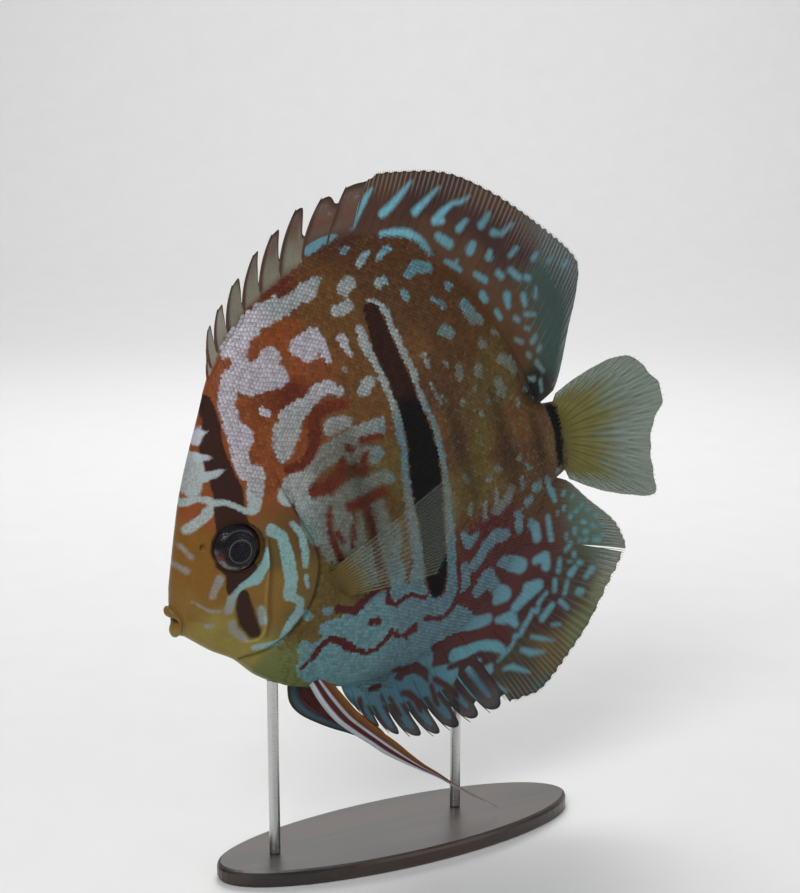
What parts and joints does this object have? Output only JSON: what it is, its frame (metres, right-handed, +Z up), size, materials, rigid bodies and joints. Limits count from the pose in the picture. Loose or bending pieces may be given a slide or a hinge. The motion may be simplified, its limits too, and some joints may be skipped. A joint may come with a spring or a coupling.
{
  "type": "discus fish display model",
  "caption": "Life-size discus fish, swimming nose down with its fins spread, held over a flat oval base by two short upright rods.",
  "frame": {"origin": "centre of the underside of the stand's base, on the floor", "axes": "+Z up, +X from the fish's head to its tail, -Y towards the fish's left side, which the picture shows"},
  "size_m": [0.1551, 0.0564, 0.1871],
  "materials": {
    "skin": "satin, rust orange with pale blue worm lines and dark upright bars",
    "fin": "satin, maroon brown with sky blue dashes and a clear margin",
    "tail_fin": "satin, yellow olive that fades to clear",
    "pectoral_fin": "satin, nearly clear with an ochre root",
    "pelvic_fin": "satin, white front edge, maroon and orange",
    "iris": "wet gloss",
    "stand_wood": "dark stained, satin varnish",
    "stand_steel": "fine brushed"
  },
  "bodies": {
    "root": {"head": "skin", "torso": "skin", "tail_stalk": "skin", "eye_left": "iris", "eye_right": "iris", "dorsal_fin_spines": "fin", "dorsal_fin_middle": "fin", "dorsal_fin_rear": "fin", "anal_fin_spines": "fin", "anal_fin_middle": "fin", "anal_fin_rear": "fin", "caudal_fin": "tail_fin", "pectoral_fin_left": "pectoral_fin", "pectoral_fin_right": "pectoral_fin", "pelvic_fin_left": "pelvic_fin", "pelvic_fin_right": "pelvic_fin", "stand_base": "stand_wood", "stand_rod_front": "stand_steel", "stand_rod_rear": "stand_steel"}
  },
  "joints": []
}
